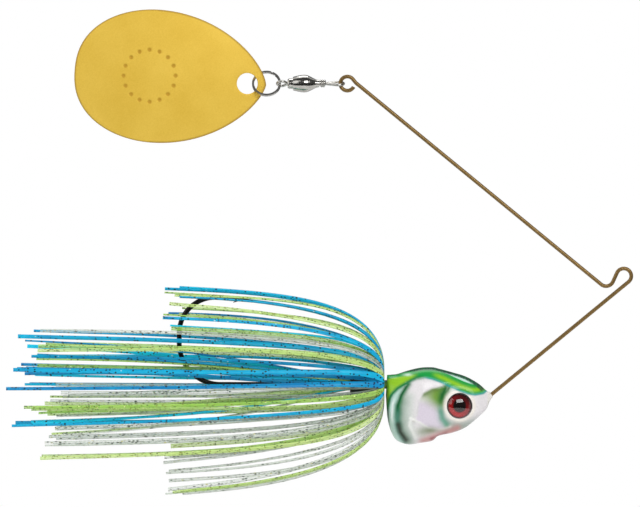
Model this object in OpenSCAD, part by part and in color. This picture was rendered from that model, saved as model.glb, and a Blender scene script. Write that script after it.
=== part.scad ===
// Single-blade spinnerbait: a bent wire frame with a cast fish head, hook, strand skirt, swivel and blade.
// +X is forward, +Z is up, and the mid-plane of the bait is y = 0. The origin is the centre of the line tie.

/* [Wire frame] */
// Diameter of the frame wire
wire_d = 1.0; // [0.8:0.05:1.2]
// Bend radius of the line tie, to the middle of the wire
tie_r = 1.97; // [1.7:0.05:3]
// How far the line tie turns, in degrees
tie_turn = 206.4; // [190:0.2:220]
// Straight run between the line tie and the elbow
riser = 2.5; // [1:0.1:6]
// Bend radius of the elbow between the riser and the upper arm
elbow_r = 2.0; // [1.6:0.1:4]
// Straight length of the upper arm
upper_arm = 82.8; // [60:0.5:95]
// Slope of the upper arm, in degrees
upper_slope = 39.4; // [34:0.2:48]
// Straight length of the lower arm, from the line tie to the nose of the head
lower_arm = 47.2; // [40:0.2:60]
// Slope of the lower arm, in degrees
lower_slope = 39.4; // [34:0.2:44]
// Radius of the loop at the end of the upper arm, to the middle of the wire
loop_r = 1.85; // [1.6:0.05:2.6]
// How far that loop turns, in degrees
loop_turn = 294; // [270:1:300]
// Set of the loop against the arm, in degrees
loop_set = 12; // [4:1:20]
// Radius of the bend that sets the loop
loop_set_r = 4; // [2:0.5:8]

/* [Head] */
// Length of the head from its back to its nose
head_len = 26.8; // [24:0.2:32]
// Height of the head
head_h = 20.2; // [18:0.2:24]
// Width of the head over both cheeks
head_w = 11.6; // [10:0.2:14]
// Depth of the gill slits
gill_depth = 0.5; // [0:0.05:0.8]
// Diameter of the eyes
eye_d = 6.7; // [5:0.1:7.4]
// Depth of the eye sockets
eye_depth = 0.9; // [0.6:0.05:1.3]
// Thickness of the printed disc behind each lens
eye_disc_t = 0.25; // [0.15:0.05:0.4]
// How far each lens stands out of its socket
lens_rise = 1.0; // [0.4:0.05:1.5]
// Turn of the eyes towards the nose, in degrees
eye_turn = 11; // [0:1:16]
// Gap all round the inserts that the head is cast over
cast_gap = 0.02; // [0.01:0.01:0.05]

/* [Hook] */
// Diameter of the hook wire
hook_d = 1.3; // [1:0.05:1.6]
// Straight shank, from the hook's eye to the bend
hook_shank = 58.2; // [54:0.5:70]
// Radius of the lower half of the bend
heel_r = 10.8; // [8:0.2:13]
// Radius of the upper half of the bend
throat_r = 9.4; // [7:0.2:12]
// Straight between the two halves of the bend
bend_run = 2.6; // [0:0.2:6]
// Straight length of the point, from the bend to the tip
point_run = 9.2; // [7:0.2:14]
// Length of the ground tip
tip_len = 4.2; // [2.5:0.1:6]
// How far the point turns in towards the shank, in degrees
point_set = 5; // [0:0.5:10]

/* [Skirt] */
// Length of the rubber collar that holds the skirt
collar_len = 7.6; // [5:0.2:10]
// Wall of the collar
collar_wall = 0.9; // [0.6:0.1:1.6]
// Diameter of the keeper that the skirt is slid over
keeper_d = 2.3; // [2.1:0.1:3.2]
// Gap between the back of the head and the collar
collar_gap = 2.1; // [1.9:0.1:3]
// Width of a free strand
strand_w = 1.1; // [0.6:0.05:1.2]
// Thickness of a strand
strand_t = 0.4; // [0.3:0.05:0.45]
// Strands of the outer bloom on each side
bloom_n = 17; // [9:1:17]
// Strands of the body under it on each side
body_n = 15; // [9:1:15]
// Strands of the inner tail on each side
tail_n = 13; // [7:1:13]
// Height that the bloom swells to beside the collar
bloom_r = 19; // [15:0.2:21]
// Height of the upper tips above the shank
fan_up = 25.4; // [22:0.2:28]
// Depth of the lower tips below the shank
fan_down = 29.4; // [24:0.2:32]
// Reach of the short strands behind the collar's front
short_reach = 54; // [46:1:60]
// Reach of the long strands behind the collar's front
long_reach = 94.5; // [80:0.5:104]
// Sideways flattening of the skirt
flatten = 0.55; // [0.5:0.01:0.7]
// Half the parting that the hook holds open between the two sides
parting = 2.6; // [2.4:0.1:3.2]

/* [Swivel] */
// Largest diameter of the barrel
barrel_d = 4.6; // [4.4:0.1:6]
// Length of the barrel
barrel_len = 6.9; // [6.8:0.1:9]
// Length of the cap outside the barrel
cap_len = 1.4; // [1:0.1:2.5]
// Wire of the swivel's two eyes
eye_wire = 0.68; // [0.5:0.02:0.72]
// Bend radius of the eye on the arm, to the middle of its wire
arm_eye_r = 1.4; // [1.3:0.05:1.8]
// Length of the eye on the arm, from its bar to its neck
arm_eye_len = 4.8; // [4.4:0.1:7]
// Turn of that eye out of level, in degrees
arm_eye_turn = 18; // [0:1:25]
// Bend radius of the eye on the blade side, to the middle of its wire
blade_eye_r = 1.15; // [1.1:0.05:1.4]
// Length of that eye, from its bar to the cap
blade_eye_len = 2.7; // [2.6:0.1:4]
// Diameter of the shanks that turn in the barrel
pivot_d = 1.1; // [0.9:0.05:1.2]
// Diameter of the bearing balls
ball_d = 0.66; // [0.5:0.02:0.68]
// Number of bearing balls
ball_n = 8; // [5:1:8]
// Running clearance in the swivel, on the radius
run_gap = 0.05; // [0.03:0.01:0.08]

/* [Ring and blade] */
// Outside diameter of the split ring
ring_d = 7.6; // [7.4:0.02:9]
// Width of the ring's turns
ring_w = 0.52; // [0.46:0.02:0.8]
// Thickness of each of its two turns
ring_t = 0.3; // [0.26:0.02:0.42]
// Lean of the ring out of the blade's plane, in degrees
ring_lean = 30; // [28:1:36]
// Length of the blade
blade_len = 50.2; // [40:0.2:56]
// Width of the blade
blade_w = 34.8; // [28:0.2:40]
// Thickness of the blade
blade_t = 0.5; // [0.4:0.05:0.6]
// Radius of the blade's dish
dish_r = 130; // [110:5:300]
// Diameter of the blade's hole
hole_d = 5.5; // [5.2:0.1:6.4]
// Rise of the blade's far end, in degrees
blade_rise = 4.5; // [-8:0.5:10]
// Gap between linked pieces at rest
link_gap = 0.05; // [0.03:0.01:0.1]

/* [Hidden] */
$fn = 48;
blue = "dodgerblue";
chartreuse = "greenyellow";
clear = "lightgray";
colour_names = ["blue", "chartreuse", "clear"];
colour_values = [blue, chartreuse, clear];
layer_names = ["bloom", "body", "tail"];
side_names = ["left", "right"];
side_signs = [1, -1];
tab_names = [for (c = colour_names, l = layer_names, s = side_names) str("skirt_", c, "_", l, "_", s)];

// A place in the XZ plane is [x, z, heading], with the heading in degrees from +X towards +Z.
function run(p, l) = [p[0] + l * cos(p[2]), p[1] + l * sin(p[2]), p[2]];
function turn(p, r, a) = let (s = sign(a)) [
    p[0] + s * r * (sin(p[2] + a) - sin(p[2])),
    p[1] - s * r * (cos(p[2] + a) - cos(p[2])),
    p[2] + a];
// A route is a list of steps [straight length, bend radius, bend angle].
function after(p, s) = s[2] == 0 ? run(p, s[0]) : turn(run(p, s[0]), s[1], s[2]);
function places(p, steps, i = 0) =
    i == len(steps) ? [p] : concat([p], places(after(p, steps[i]), steps, i + 1));
function last(list) = list[len(list) - 1];
function mix(a, b, t) = a + (b - a) * t;
function ease(t) = let (u = max(0, min(1, t))) u * u * (3 - 2 * u);
function unit(v) = v / norm(v);

// The frame wire starts on the line tie, where the lower arm meets it
tie_p = [tie_r * cos(lower_slope - 90), tie_r * sin(lower_slope - 90), lower_slope];
loop_lead = 0.8;
upper_steps = [
    [0, tie_r, tie_turn],
    [riser, elbow_r, 180 - upper_slope - lower_slope - tie_turn],
    [upper_arm, loop_set_r, -loop_set],
    [loop_lead, loop_r, loop_turn]];
upper_places = places(tie_p, upper_steps);
loop_p = run(upper_places[3], loop_lead);
loop_c = [loop_p[0] - loop_r * sin(loop_p[2]), loop_p[1] + loop_r * cos(loop_p[2])];

// Inside the head the wire levels out, then turns up through the hook's eye
tuck_r = 2;
tuck_in = 1;
tuck_run = 6.8;
tuck_up = 3.6;
nose_p = run([tie_p[0], tie_p[1], 180 + lower_slope], lower_arm);
nose_sink = 0.2;
lower_steps = [
    [lower_arm + nose_sink + tuck_in, tuck_r, -lower_slope],
    [tuck_run, tuck_r, -90],
    [tuck_up, 0, 0]];
lower_p = [tie_p[0], tie_p[1], 180 + lower_slope];
lower_places = places(lower_p, lower_steps);

// The head: stations along it hold [share of length, top and bottom as shares of height, share of width]
nose_share = -0.153;
head_stations = [
    [0.000, 0.123, -0.400, 0.56], [0.019, 0.124, -0.530, 0.74], [0.052, 0.128, -0.647, 0.84],
    [0.101, 0.136, -0.731, 0.91], [0.205, 0.180, -0.778, 0.98], [0.327, 0.217, -0.758, 1.00],
    [0.440, 0.222, -0.731, 0.98], [0.504, 0.205, -0.667, 0.97], [0.649, 0.153, -0.622, 0.90],
    [0.772, 0.101, -0.553, 0.79], [0.894, 0.010, -0.420, 0.60], [0.966, -0.074, -0.326, 0.36],
    [1.000, -0.095, -0.225, 0.20]];
nose_x = nose_p[0];
back_x = nose_x - head_len;
axis_z = nose_p[1] - nose_share * head_h;
head_power = 2.4;
head_sides = 24;
head_parts = 2;

// The gill slit is part of a circle behind the eye
gill_x = back_x + 0.37 * head_len;
gill_z = axis_z - 0.40 * head_h;
gill_r = 0.34 * head_h;
gill_half = 0.8;

function spline(a, b, c, d, t) =
    (2 * b + (c - a) * t + (2 * a - 5 * b + 4 * c - d) * t * t + (3 * b - a - 3 * c + d) * t * t * t) / 2;
function station(i, t) = let (m = len(head_stations) - 1) spline(
    head_stations[max(i - 1, 0)], head_stations[i],
    head_stations[min(i + 1, m)], head_stations[min(i + 2, m)], t);
function power(v, e) = sign(v) * pow(abs(v), e);
function slit(x, z) = let (dx = x - gill_x, dz = z - gill_z, r = norm([dx, dz]))
    gill_depth * exp(-pow((r - gill_r) / gill_half, 2)) * ease(-dx / gill_r * 1.4);
function head_ring(s) = let (
        x = back_x + s[0] * head_len,
        mid = axis_z + (s[1] + s[2]) / 2 * head_h,
        half = (s[1] - s[2]) / 2 * head_h,
        wide = s[3] * head_w / 2)
    [for (k = [0 : head_sides - 1]) let (
            a = 360 * k / head_sides,
            z = mid + half * power(sin(a), 2 / head_power),
            y = wide * power(cos(a), 2 / head_power))
        [x, y - sign(y) * min(abs(y), slit(x, z)), z]];
head_rings = concat(
    [for (i = [0 : len(head_stations) - 2], k = [0 : head_parts - 1]) head_ring(station(i, k / head_parts))],
    [head_ring(last(head_stations))]);

// The eyes sit on the cheeks, turned a little towards the nose
eye_x = back_x + 0.705 * head_len;
eye_z = axis_z - 0.272 * head_h;
eye_y = 0.84 * head_w / 2;
eye_gap = 0.03;

// The hook: its eye is round the turned-up end of the frame wire
hook_eye_wire = hook_d - 0.1;
hook_eye_r = wire_d / 2 + hook_d / 2 + 0.12;
hook_eye_x = lower_places[2][0];
hook_p = [hook_eye_x - hook_eye_r, axis_z, 180];
hook_steps = [
    [hook_shank, heel_r, -90],
    [bend_run, throat_r, -90 - point_set],
    [point_run - tip_len, 0, 0]];
hook_places = places(hook_p, hook_steps);
barb_len = 2.2;
barb_lean = 26;

// The skirt's collar, with two layers of strands pinched between it and the keeper
pinch_gap = 0.06;
layer_gap = 0.16;
tail_seat = keeper_d / 2 + pinch_gap + strand_t / 2;
bloom_seat = tail_seat + strand_t + layer_gap;
body_seat = bloom_seat + strand_t + layer_gap;
collar_in = body_seat + strand_t / 2 + pinch_gap;
collar_out = collar_in + collar_wall;
collar_front = back_x - collar_gap;
collar_back = collar_front - collar_len;
collar_edge = 0.25;

// Colours from the top of the skirt to its bottom: 0 blue, 1 chartreuse, 2 clear
layer_counts = [bloom_n, body_n, tail_n];
layer_tints = [
    [0, 1, 0, 1, 0, 2, 1, 0, 0, 1, 0, 2, 1, 2, 2, 1, 2],
    [1, 0, 1, 0, 1, 0, 0, 2, 2, 1, 2, 2, 1, 2, 2],
    [0, 1, 0, 1, 0, 0, 0, 2, 1, 1, 0, 1, 2]];
layer_spreads = [1, 0.68, 0.36];
layer_shakes = [0.04, 0.06, 0.12];
layer_trims = [0, 2, 3];
short_tops = [0.64, 0.85, 2];
short_feet = [0.69, 0.85, 2];
tip_trims = [0, 4, 8];
rest_share = 0.7;

// The swivel lies level behind the loop of the upper arm
swivel_z = loop_c[1];
eye_bar_r = eye_wire / 2;
arm_bar_x = loop_c[0] - loop_r + wire_d / 2 + link_gap + eye_bar_r;
neck_x = arm_bar_x - arm_eye_len;
neck_len = 1.6;
neck_d = 1.25;
barrel_end = neck_x - neck_len;
barrel_mouth = barrel_end - barrel_len;
pivot_head_d = 2.5;
pivot_head_t = 0.6;
head_space = 0.25;
cavity_r = pivot_head_d / 2 + 0.2;
cap_seat = 1.5;
cap_face = barrel_mouth + cap_seat;
cap_r = cavity_r - 0.02;
cap_out = cavity_r - 0.1;
cap_end = barrel_mouth - cap_len;
ball_orbit = pivot_d / 2 + 0.07 + ball_d / 2;
ball_x = cap_face + run_gap + ball_d / 2;
inner_face = ball_x + ball_d / 2 + run_gap;
cavity_end = inner_face + 2 * pivot_head_t + head_space + run_gap;
blade_bar_x = cap_end - blade_eye_len;
bore_r = pivot_d / 2 + run_gap;
mouth_r = cavity_r + 0.3;
end_r = bore_r + 0.35;
belly_share = 0.45;
barrel_parts = 14;

// The ring hangs on the bar of the blade eye
ring_r = ring_d / 2;
ring_slit = 0.04;
ring_stack = 2 * ring_t + ring_slit;
ring_in = ring_r - ring_w;
bar_in = blade_eye_r - eye_bar_r;
bar_hollow = blade_eye_r - sqrt(bar_in * bar_in - ring_stack * ring_stack / 4);
ring_x = blade_bar_x + bar_hollow + link_gap - ring_in;
ring_joint = 8;
ring_joint_at = 55;

// The blade hangs on the far side of the ring, which crosses its sheet inside the hole
cross_gap = 0.25;
cross_s = (blade_t / 2 + ring_stack / 2 * cos(ring_lean) + cross_gap) / sin(ring_lean);
cross_z = cross_s * cos(ring_lean);
cross_x = ring_x - sqrt(ring_in * ring_in - cross_s * cross_s);
hole_x = cross_x + cross_gap - sqrt(hole_d * hole_d / 4 - cross_z * cross_z);
tip_edge = 2.15;
tip_share = 0.577;
tip_power = 1.36;
end_power = 0.86;
outline_n = 72;
hole_at = tip_share * blade_len - tip_edge - hole_d / 2;
hang_at = hole_at + hole_d / 2;
dish_y = sqrt(dish_r * dish_r - hang_at * hang_at);

// Lofts rings of points into one closed solid, with flat ends.
module loft(rings) {
    m = len(rings[0]);
    n = len(rings);
    sides = [for (i = [0 : n - 2], k = [0 : m - 1]) let (
            a = i * m + k, b = i * m + (k + 1) % m, c = b + m, d = a + m)
        each [[a, c, b], [a, d, c]]];
    ends = [[for (k = [0 : m - 1]) k], [for (k = [m - 1 : -1 : 0]) (n - 1) * m + k]];
    polyhedron(points = [for (r = rings) each r], faces = concat(sides, ends));
}

// One bend of round wire, from a place in the XZ plane
module bend(p, r, a, d) {
    s = sign(a);
    translate([p[0] - s * r * sin(p[2]), 0, p[1] + s * r * cos(p[2])])
        rotate([90, 0, 0])
            rotate([0, 0, p[2] - s * 90 + min(a, 0)])
                rotate_extrude(angle = abs(a)) translate([r, 0]) circle(d = d);
}

// A joint between two stretches of wire, which stop a hair short of each other inside it
seam = 0.02;
module joint(p, d) {
    translate([p[0], 0, p[1]]) sphere(d = 1.02 * d);
}

module straight(p, l, d) {
    a = run(p, seam);
    translate([a[0], 0, a[1]]) rotate([0, 90 - a[2], 0]) cylinder(h = l - 2 * seam, d = d);
}

// Round wire along a route in the XZ plane
module wire_route(p, steps, d) {
    at = places(p, steps);
    for (i = [0 : len(steps) - 1]) {
        mid = run(at[i], steps[i][0]);
        if (i > 0) joint(at[i], d);
        if (steps[i][0] > 0) straight(at[i], steps[i][0], d);
        if (steps[i][2] != 0) bend(mid, steps[i][1], steps[i][2], d);
        if (steps[i][0] > 0 && steps[i][2] != 0) joint(mid, d);
    }
}

// A turned solid along X: the profile holds [radius, x] points, and z is the height of its axis
module turned(profile, z) {
    translate([0, 0, z]) rotate([0, 90, 0]) rotate_extrude() polygon(profile);
}

module rod(x, z, l, d) {
    translate([x, 0, z]) rotate([0, 90, 0]) cylinder(h = l, d = d);
}

// A closed eye of wire in the XY plane, from a neck at [x, 0, 0] to a bar, both sides tangent to its bend
module wire_eye(x, bar_x, r, apart) {
    s = sign(bar_x - x);
    l = abs(bar_x - x) - r;
    lean = asin(r / norm([l, apart])) - atan(apart / l);
    side = sqrt(l * l + apart * apart - r * r);
    rotate([-90, 0, 0]) translate([x, 0, 0]) mirror([s < 0 ? 1 : 0, 0, 0])
        wire_route([0, apart, lean], [[side, r, -180 - 2 * lean], [side, 0, 0]], eye_wire);
}

module wire_frame() {
    color("tan") {
        wire_route(tie_p, upper_steps, wire_d);
        joint(tie_p, wire_d);
        wire_route(lower_p, lower_steps, wire_d);
    }
}

module hook() {
    tip = last(hook_places);
    barb = run(tip, 1);
    color("black") {
        translate([hook_eye_x, 0, axis_z])
            rotate_extrude() translate([hook_eye_r, 0]) circle(d = hook_eye_wire);
        wire_route(hook_p, hook_steps, hook_d);
        joint(tip, hook_d);
        translate([tip[0], 0, tip[1]]) rotate([0, 90 - tip[2], 0])
            cylinder(h = tip_len, d1 = hook_d, d2 = 0.16);
        translate([barb[0], 0, barb[1]]) rotate([0, 90 - tip[2] - 180 - barb_lean, 0])
            cylinder(h = barb_len, d1 = 0.6, d2 = 0.12);
    }
}

// Places its children on one cheek, with +Z out of the eye socket
module on_cheek(side) {
    mirror([0, side < 0 ? 1 : 0, 0]) translate([eye_x, eye_y, eye_z])
        rotate([0, 0, -eye_turn]) rotate([-90, 0, 0]) children();
}

module head() {
    entry = run(lower_p, lower_arm - 2);
    color("whitesmoke") difference() {
        union() {
            loft(head_rings);
            rod(collar_back, axis_z, back_x + 2 - collar_back, keeper_d);
        }
        wire_route(entry, concat([[lower_steps[0][0] - lower_arm + 2, tuck_r, -lower_slope]],
            [lower_steps[1]], [[tuck_up + cast_gap, 0, 0]]), wire_d + 2 * cast_gap);
        rod(collar_back - 1, axis_z, hook_p[0] - collar_back + 1, hook_d + 2 * cast_gap);
        translate([hook_eye_x, 0, axis_z]) cylinder(
            h = hook_eye_wire + 2 * cast_gap, r = hook_eye_r + hook_eye_wire / 2 + cast_gap, center = true);
        for (side = side_signs) on_cheek(side)
            translate([0, 0, -eye_depth]) cylinder(h = eye_depth + 3, d = eye_d + 2 * eye_gap);
    }
}

module eye_disc(side) {
    color("firebrick") on_cheek(side)
        translate([0, 0, -eye_depth]) cylinder(h = eye_disc_t, d = eye_d);
}

module eye_lens(side) {
    edge = -0.3;
    cap = lens_rise - edge;
    r = (eye_d * eye_d / 4 + cap * cap) / (2 * cap);
    color("red", 0.5) on_cheek(side) intersection() {
        translate([0, 0, eye_disc_t - eye_depth]) cylinder(h = eye_depth + lens_rise, d = eye_d);
        translate([0, 0, lens_rise - r]) sphere(r = r);
    }
}

module skirt_collar() {
    color("black") turned([
        [collar_in, collar_back], [collar_out - collar_edge, collar_back],
        [collar_out, collar_back + collar_edge], [collar_out, collar_front - collar_edge],
        [collar_out - collar_edge, collar_front], [collar_in, collar_front]], axis_z);
}

function bezier(a, b, c, d, t) = let (u = 1 - t)
    u * u * u * a + 3 * u * u * t * b + 3 * u * t * t * c + t * t * t * d;

// Routes as [distance forward of the collar's front, distance from the shank's axis]
strand_parts = 10;
root_len = 5.5;
fold_len = 0.35;
fold_h = 0.3;
bloom_front = 1.1;
bloom_lead = 2.6;
body_front = 0.45;
body_lead = 1.3;
swell_len = 16;
tail_root_len = 2;
tail_out = 0.1;
tail_lead_len = 8;
tail_lead_h = 0.6;
tail_swell_len = 24;
function fold_route(seat, front, lead, swell, spread, reach) = concat(
    [[-root_len, seat], [front - fold_len, seat]],
    [for (k = [0 : strand_parts]) bezier(
        [front, seat + fold_h], [lead, swell], [-swell_len, mix(swell, spread, 0.7)], [-reach, spread],
        pow(k / strand_parts, 1.5))]);
function tail_route(spread, reach) = concat(
    [[-tail_root_len, tail_seat], [-collar_len - tail_out, tail_seat]],
    [for (k = [1 : strand_parts]) bezier(
        [-collar_len - 2 * tail_out, tail_seat], [-collar_len - tail_lead_len, tail_seat + tail_lead_h],
        [-collar_len - tail_swell_len, 0.8 * spread], [-reach, spread], pow(k / strand_parts, 1.3))]);
function layer_route(layer, spread, reach) =
    layer == 0 ? fold_route(bloom_seat, bloom_front, bloom_lead, bloom_r, spread, reach)
    : layer == 1 ? fold_route(body_seat, body_front, body_lead, 0.62 * bloom_r, spread, reach)
    : tail_route(spread, reach);

// Where a strand's route lies on one side of the skirt, at an angle from the top
narrow_len = 8;
parting_len = 20;
reach_shake = 2.5;
function narrow(r) = mix(1, flatten, ease((r - collar_out) / narrow_len));
function part(x, a) = parting * ease((-x - collar_len) / parting_len) * ease((cos(a) + 0.45) / 0.8);
function lay(q, a, side) = [
    collar_front + q[0],
    side * (q[1] * narrow(q[1]) * sin(a) + part(q[0], a)),
    axis_z + q[1] * cos(a)];

function strand_rings(route, a, slot, side) = let (
        m = len(route) - 1,
        p = [for (q = route) lay(q, a, side)])
    [for (i = [0 : m]) let (
            t = unit(p[min(i + 1, m)] - p[max(i - 1, 0)]),
            across = [0, side * narrow(route[i][1]) * cos(a), -sin(a)],
            beside = across - (across * t) * t,
            wide = min(strand_w, rest_share * slot * (route[i][1] - strand_t / 2) * norm(beside)),
            e = unit(beside) * wide / 2,
            n = unit(cross(t, e)) * strand_t / 2)
        [p[i] + e + n, p[i] - e + n, p[i] - e - n, p[i] + e - n]];

function strand_shape(layer, k, side) = let (
        shake = rands(-1, 1, 3, 100 * layer + 7 * k + (side > 0 ? 50 : 0) + 1),
        a = 180 * (k + 0.5 + 0.05 * shake[0]) / layer_counts[layer],
        full = mix(fan_down, fan_up, (1 + cos(a)) / 2),
        spread = full * (layer_spreads[layer] + layer_shakes[layer] * shake[1]),
        long = long_reach - tip_trims[layer_tints[layer][k]] - layer_trims[layer],
        short = cos(a) > short_tops[layer] || -cos(a) > short_feet[layer],
        reach = (short ? short_reach : long) + reach_shake * shake[2])
    strand_rings(layer_route(layer, spread, reach), a, PI / layer_counts[layer], side);

// All strands of one colour in one layer on one side
module skirt_tab(tint, layer, side) {
    color(colour_values[tint]) for (k = [0 : layer_counts[layer] - 1])
        if (layer_tints[layer][k] == tint) loft(strand_shape(layer, k, side));
}

module arm_eye() {
    neck_r = neck_d / 2;
    stem_end = cavity_end - run_gap;
    color("silver") {
        translate([0, 0, swivel_z]) rotate([arm_eye_turn, 0, 0])
            wire_eye(neck_x - 0.15, arm_bar_x, arm_eye_r, neck_r - eye_bar_r - 0.13);
        rod(barrel_end + run_gap, swivel_z, neck_x - barrel_end - run_gap, neck_d);
        rod(stem_end - pivot_head_t, swivel_z, barrel_end + 0.5 - stem_end + pivot_head_t, pivot_d);
        rod(stem_end - pivot_head_t, swivel_z, pivot_head_t, pivot_head_d);
    }
}

function barrel_radius(t) = t < belly_share
    ? mix(mouth_r, barrel_d / 2, sin(90 * t / belly_share))
    : mix(barrel_d / 2, end_r, ease((t - belly_share) / (1 - belly_share)));

module swivel_barrel() {
    outer = [for (k = [0 : barrel_parts]) let (t = k / barrel_parts)
        [barrel_radius(t), barrel_mouth + t * barrel_len]];
    color("silver") turned(concat(
        [[cavity_r, barrel_mouth]], outer,
        [[bore_r, barrel_end], [bore_r, cavity_end], [cavity_r, cavity_end]]), swivel_z);
}

module swivel_cap() {
    color("silver") turned([
        [bore_r, cap_end], [cap_out - 0.3, cap_end], [cap_out, cap_end + 0.4], [cap_out, barrel_mouth],
        [cap_r, barrel_mouth], [cap_r, cap_face], [bore_r, cap_face]], swivel_z);
}

module bearing_balls() {
    color("gray") for (k = [0 : ball_n - 1])
        translate([ball_x, ball_orbit * cos(360 * k / ball_n), swivel_z + ball_orbit * sin(360 * k / ball_n)])
            sphere(d = ball_d);
}

module blade_eye() {
    apart = pivot_d / 2 - eye_bar_r - 0.06;
    neck = cap_end - 0.15;
    color("silver") {
        translate([0, 0, swivel_z]) rotate([-ring_lean, 0, 0])
            wire_eye(neck, blade_bar_x, blade_eye_r, apart);
        rod(neck - 0.25, swivel_z, inner_face + pivot_head_t - neck + 0.25, pivot_d);
        rod(inner_face, swivel_z, pivot_head_t, pivot_head_d);
    }
}

module ring_turn(from, to, low, high, inset = 0) {
    rotate([0, 0, from]) rotate_extrude(angle = to - from)
        translate([ring_in + inset, low]) square([ring_w - 2 * inset, high - low]);
}

// Two turns of flat wire, joined where the wire steps from one to the other
module split_ring() {
    half = ring_stack / 2;
    color("dimgray") translate([ring_x, 0, swivel_z]) rotate([90 - ring_lean, 0, 0])
        rotate([0, 0, ring_joint_at]) {
            ring_turn(0, 360 - ring_joint, -half, ring_t - half);
            ring_turn(2 * ring_joint, 360 + ring_joint, half - ring_t, half);
            ring_turn(1, ring_joint - 1, -half / 2, half / 2, 0.05);
        }
}

function blade_point(a) = let (tip = cos(a) > 0)
    [cos(a) * blade_len * (tip ? tip_share : 1 - tip_share),
     sign(sin(a)) * blade_w / 2 * pow(abs(sin(a)), tip ? tip_power : end_power)];

module blade() {
    color("gold") translate([hole_x, 0, swivel_z]) rotate([0, blade_rise, 0])
        translate([-hole_at, 0, 0]) difference() {
            intersection() {
                rotate([90, 0, 0]) translate([0, 0, -10]) linear_extrude(20)
                    polygon([for (k = [0 : outline_n - 1]) blade_point(360 * k / outline_n)]);
                translate([0, dish_y, 0]) difference() {
                    sphere(r = dish_r + blade_t / 2);
                    sphere(r = dish_r - blade_t / 2);
                }
            }
            translate([hole_at, 0, 0]) rotate([90, 0, 0]) cylinder(h = 20, d = hole_d, center = true);
        }
}

wire_frame();
head();
hook();
eye_disc(1);  // left_eye_disc
eye_disc(-1);  // right_eye_disc
eye_lens(1);  // left_eye_lens
eye_lens(-1);  // right_eye_lens
skirt_collar();
for (c = [0 : 2], l = [0 : 2], s = [0 : 1])
    skirt_tab(c, l, side_signs[s]);
arm_eye();
swivel_barrel();
swivel_cap();
bearing_balls();
blade_eye();
split_ring();
blade();
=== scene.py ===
import math
import random

import bmesh
import bpy
import numpy as np
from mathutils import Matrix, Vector

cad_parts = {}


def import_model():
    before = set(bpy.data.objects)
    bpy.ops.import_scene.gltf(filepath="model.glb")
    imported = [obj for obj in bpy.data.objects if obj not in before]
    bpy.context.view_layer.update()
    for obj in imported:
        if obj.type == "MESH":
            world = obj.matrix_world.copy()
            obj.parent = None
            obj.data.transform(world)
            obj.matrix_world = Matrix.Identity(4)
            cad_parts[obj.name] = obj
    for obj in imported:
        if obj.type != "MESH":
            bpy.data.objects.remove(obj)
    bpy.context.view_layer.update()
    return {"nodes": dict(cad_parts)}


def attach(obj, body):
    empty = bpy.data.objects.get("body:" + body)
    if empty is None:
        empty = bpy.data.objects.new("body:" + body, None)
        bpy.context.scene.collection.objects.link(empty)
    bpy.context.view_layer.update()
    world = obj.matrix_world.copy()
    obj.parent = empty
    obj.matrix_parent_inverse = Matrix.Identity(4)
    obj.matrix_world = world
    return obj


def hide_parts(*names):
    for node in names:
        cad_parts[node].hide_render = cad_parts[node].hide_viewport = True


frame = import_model()
nodes = frame["nodes"]
mm = 0.001
weld = 0.002 * mm  # points closer than this become one
bpy.ops.object.select_all(action="DESELECT")
print("frame:", len(nodes), "nodes")


def tint(r, g, b):  # a screen colour in the renderer's own light
    parts = [v / 255 for v in (r, g, b)]
    return [v / 12.92 if v < 0.04045 else ((v + 0.055) / 1.055) ** 2.4 for v in parts] + [1]


def tinted(stops):
    return [(at, tint(*colour)) for at, colour in stops]


def ease(t):
    t = np.clip(t, 0, 1)
    return t * t * (3 - 2 * t)


def past(value, start, over):  # 0 up to the start, rising to 1 over the length given
    return ease((value - start) / over)


def before(value, end, over):  # 0 from the end on, rising to 1 over the length before it
    return ease((end - value) / over)


def bell(value, middle, width):
    return np.exp(-((value - middle) / width) ** 2)


def curveAt(points, t):  # a smooth run through the points, t counted in points
    i = min(int(t), len(points) - 2)
    t -= i
    a, b = points[max(i - 1, 0)], points[i]
    c, d = points[i + 1], points[min(i + 2, len(points) - 1)]
    square, cube = 2 * a - 5 * b + 4 * c - d, 3 * b - a - 3 * c + d
    return (2 * b + (c - a) * t + square * t * t + cube * t ** 3) / 2


def startMaterial(name, look):
    made = bpy.data.materials.new(name)
    made.use_nodes = True
    shader = made.node_tree.nodes["Principled BSDF"]
    for key, value in look.items():
        shader.inputs[key].default_value = value
    return made, made.node_tree, shader


def addNode(tree, kind, inputs=None, **settings):
    node = tree.nodes.new("ShaderNode" + kind)
    for key, value in settings.items():
        setattr(node, key, value)
    for key, value in (inputs or {}).items():
        if isinstance(value, bpy.types.NodeSocket):
            tree.links.new(value, node.inputs[key])
        else:
            node.inputs[key].default_value = value
    return node


def addMath(tree, operation, *values):
    node = addNode(tree, "Math", dict(enumerate(values)), operation=operation)
    return node.outputs["Value"]


def addVector(tree, operation, *values):
    return addNode(tree, "VectorMath", dict(enumerate(values)), operation=operation)


def addRange(tree, value, start, end, smooth="LINEAR"):  # start and end are pairs of from and to
    return addNode(tree, "MapRange", {
        "Value": value, "From Min": start[0], "To Min": start[1], "From Max": end[0], "To Max": end[1],
    }, interpolation_type=smooth).outputs["Result"]


def addMix(tree, share, low, high, how="MIX"):
    node = addNode(tree, "MixRGB", {"Fac": share, "Color1": low, "Color2": high}, blend_type=how)
    return node.outputs["Color"]


def addRamp(tree, value, stops, smooth="LINEAR"):
    node = addNode(tree, "ValToRGB", {"Fac": value})
    node.color_ramp.interpolation = smooth
    bar = node.color_ramp.elements
    while len(bar) < len(stops):
        bar.new(0.5)
    for spot, (at, colour) in zip(bar, stops):
        spot.position = at
        spot.color = colour
    return node.outputs["Color"]


def addNoise(tree, place, scale, detail=3.0, rough=0.5):
    node = addNode(tree, "TexNoise", {"Vector": place, "Scale": scale, "Detail": detail, "Roughness": rough})
    return node.outputs["Fac"]


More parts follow.
